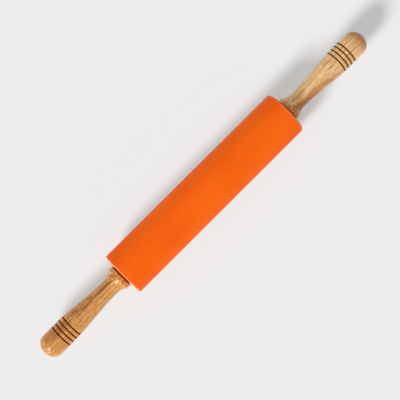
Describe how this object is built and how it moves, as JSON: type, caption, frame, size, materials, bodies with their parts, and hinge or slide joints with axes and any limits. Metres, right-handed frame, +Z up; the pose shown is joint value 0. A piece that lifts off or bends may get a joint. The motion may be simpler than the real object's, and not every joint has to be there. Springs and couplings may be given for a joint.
{
  "type": "silicone rolling pin",
  "caption": "Rolling pin with an orange silicone roller that spins on a steel rod between turned, varnished wooden handles with burnt ring grooves.",
  "frame": {"origin": "under the middle of the roller, on the surface that the pin lies on", "axes": "+X along the pin towards the handle beside the rounded roller end, +Z up from the surface"},
  "size_m": [0.4296, 0.047, 0.047],
  "materials": {
    "silicone": "satin moulded silicone",
    "core_wood": "raw turned wood",
    "bush_plastic": "natural nylon",
    "rod_steel": "drawn steel rod",
    "washer_plastic": "dark nylon",
    "insert_brass": "turned brass",
    "handle_wood": "clear varnished wood with burnt grooves"
  },
  "bodies": {
    "roller": {"silicone_sleeve": "silicone", "roller_core": "core_wood", "bush_left": "bush_plastic", "bush_right": "bush_plastic"},
    "handles": {"axle_rod": "rod_steel", "thrust_washer_left": "washer_plastic", "thrust_washer_right": "washer_plastic", "insert_left": "insert_brass", "insert_right": "insert_brass", "handle_left": "handle_wood", "handle_right": "handle_wood"}
  },
  "joints": [
    {"name": "handle_spin", "type": "hinge", "parent": "roller", "child": "handles", "pos_m": [0, 0, 0.02348], "axis": [1, 0, 0], "continuous": true}
  ]
}
